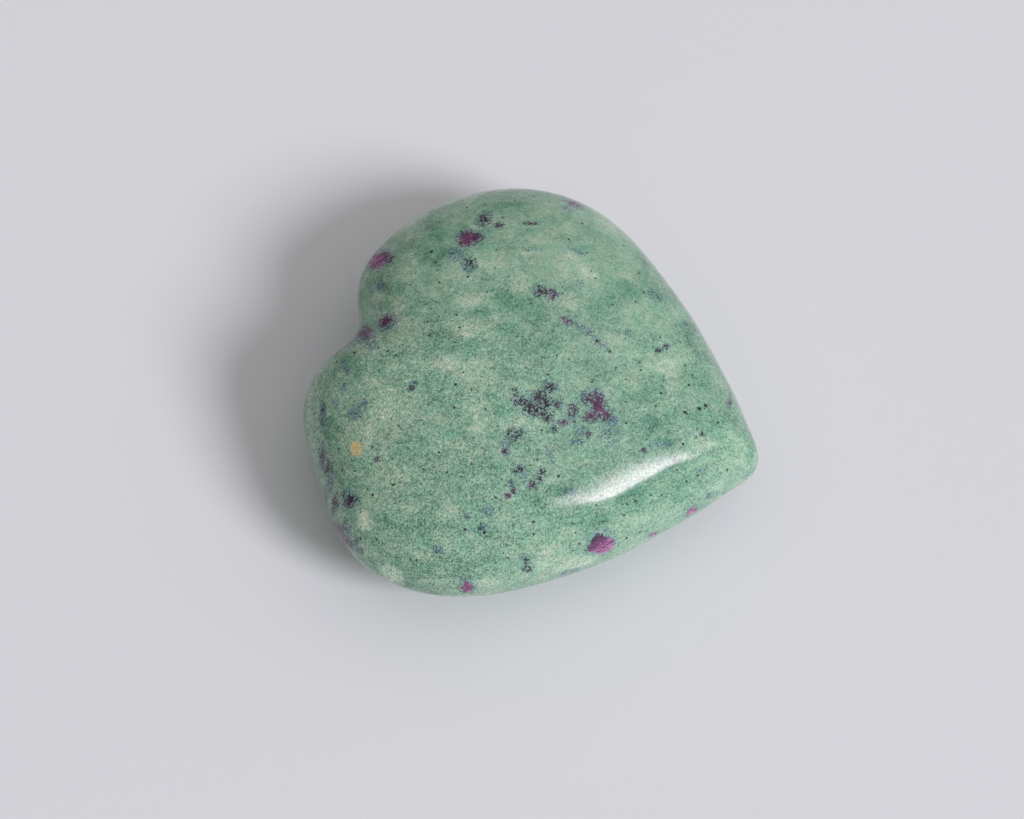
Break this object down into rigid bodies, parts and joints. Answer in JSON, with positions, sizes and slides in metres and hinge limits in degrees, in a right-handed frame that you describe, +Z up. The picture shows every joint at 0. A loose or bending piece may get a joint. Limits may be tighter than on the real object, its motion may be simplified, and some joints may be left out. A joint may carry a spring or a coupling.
{
  "type": "polished stone heart",
  "caption": "Palm-sized puffy heart carved and polished from green ruby in fuchsite, with a blunt tip, rounded lobes and a small flat to rest on.",
  "frame": {"origin": "middle of the small flat ground on the underside, which the heart rests on", "axes": "+Z up, the heart's tip points to -Y and its cleft to +Y, the two lobes lie to -X and +X"},
  "size_m": [0.063, 0.06, 0.0231],
  "materials": {
    "polished_stone": "glossy hand polish over sage and teal green rock with magenta and purple rubies, bluish rims, black specks and cream patches"
  },
  "bodies": {
    "root": {"heart_stone": "polished_stone"}
  },
  "joints": []
}
